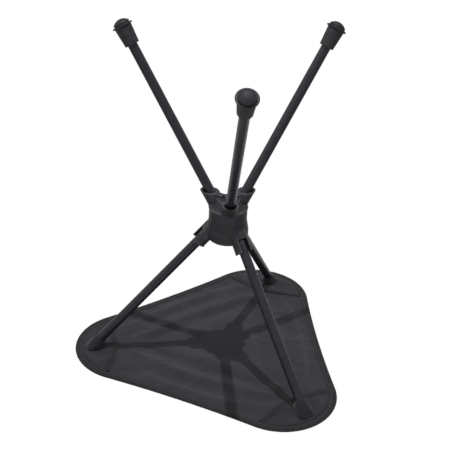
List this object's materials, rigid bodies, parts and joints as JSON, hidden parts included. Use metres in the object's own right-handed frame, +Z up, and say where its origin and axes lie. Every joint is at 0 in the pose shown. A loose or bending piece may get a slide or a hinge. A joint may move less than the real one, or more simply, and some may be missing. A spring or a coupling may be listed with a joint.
{
  "type": "three leg stool",
  "caption": "Three leg camp stool: a swivelling hub with splayed tube legs below and hinged tube arms above that stretch a triangular cloth seat.",
  "frame": {"origin": "in the middle of the seat's upper face, on the swivel axis; the feet stand on the floor 513.8 mm below it", "axes": "+Z up along the swivel axis; leg 1 points along +Y; arm 1 points 58.3 degrees from +X towards +Y"},
  "size_m": [0.4067, 0.4339, 0.5138],
  "materials": {
    "hub_plastic": "moulded nylon, fine texture",
    "tube_coating": "satin black powder coat",
    "foot_rubber": "matt moulded rubber",
    "bolt_steel": "black oxide",
    "nut_steel": "zinc plated",
    "bearing_plastic": "acetal, natural",
    "pin_steel": "satin",
    "knuckle_plastic": "moulded nylon",
    "seat_cloth": "plain woven polyester, slight sheen",
    "binding_tape": "folded woven tape",
    "patch_cloth": "close woven polyester"
  },
  "bodies": {
    "leg_hub": {"leg_hub": "hub_plastic", "swivel_bolt": "bolt_steel", "thrust_washer": "bearing_plastic", "nut_washer": "nut_steel", "lock_nut": "nut_steel"},
    "leg_1": {"leg_tube_1": "tube_coating", "foot_1": "foot_rubber"},
    "leg_2": {"leg_tube_2": "tube_coating", "foot_2": "foot_rubber"},
    "leg_3": {"leg_tube_3": "tube_coating", "foot_3": "foot_rubber"},
    "seat_hub": {"seat_hub": "hub_plastic", "swivel_bush": "bearing_plastic", "hinge_pins": "pin_steel", "seat_fabric": "seat_cloth", "seat_binding": "binding_tape"},
    "arm_1": {"arm_tube_1": "tube_coating", "arm_knuckle_1": "knuckle_plastic", "arm_tip_cap_1": "knuckle_plastic", "corner_patch_1": "patch_cloth", "tip_pocket_1": "patch_cloth"},
    "arm_2": {"arm_tube_2": "tube_coating", "arm_knuckle_2": "knuckle_plastic", "arm_tip_cap_2": "knuckle_plastic", "corner_patch_2": "patch_cloth", "tip_pocket_2": "patch_cloth"},
    "arm_3": {"arm_tube_3": "tube_coating", "arm_knuckle_3": "knuckle_plastic", "arm_tip_cap_3": "knuckle_plastic", "corner_patch_3": "patch_cloth", "tip_pocket_3": "patch_cloth"}
  },
  "joints": [
    {"name": "seat_swivel", "type": "hinge", "parent": "leg_hub", "child": "seat_hub", "pos_m": [0, 0, -0.25403], "axis": [0, 0, 1], "continuous": true},
    {"name": "leg_1_pull", "type": "slide", "parent": "leg_hub", "child": "leg_1", "axis": [0, 0.5446, -0.8387], "range_m": [0, 0.03]},
    {"name": "leg_2_pull", "type": "slide", "parent": "leg_hub", "child": "leg_2", "axis": [-0.4717, -0.2723, -0.8387], "range_m": [0, 0.03]},
    {"name": "leg_3_pull", "type": "slide", "parent": "leg_hub", "child": "leg_3", "axis": [0.4717, -0.2723, -0.8387], "range_m": [0, 0.03]},
    {"name": "arm_1_fold", "type": "hinge", "parent": "seat_hub", "child": "arm_1", "pos_m": [0.01775, 0.02873, -0.20899], "axis": [0.8508, -0.5255, 0], "range_deg": [0, 34], "deforming": ["seat_fabric", "seat_binding", "corner_patch_1"]},
    {"name": "arm_2_fold", "type": "hinge", "parent": "seat_hub", "child": "arm_2", "pos_m": [-0.03376, 0.001, -0.20899], "axis": [0.0297, 0.9996, 0], "range_deg": [0, 34], "deforming": ["corner_patch_2"]},
    {"name": "arm_3_fold", "type": "hinge", "parent": "seat_hub", "child": "arm_3", "pos_m": [0.01601, -0.02974, -0.20899], "axis": [-0.8805, -0.4741, 0], "range_deg": [0, 34], "deforming": ["corner_patch_3"]}
  ],
  "couplings": [
    {"joint": "arm_2_fold", "follows": "arm_1_fold", "ratio": 1},
    {"joint": "arm_3_fold", "follows": "arm_1_fold", "ratio": 1}
  ]
}
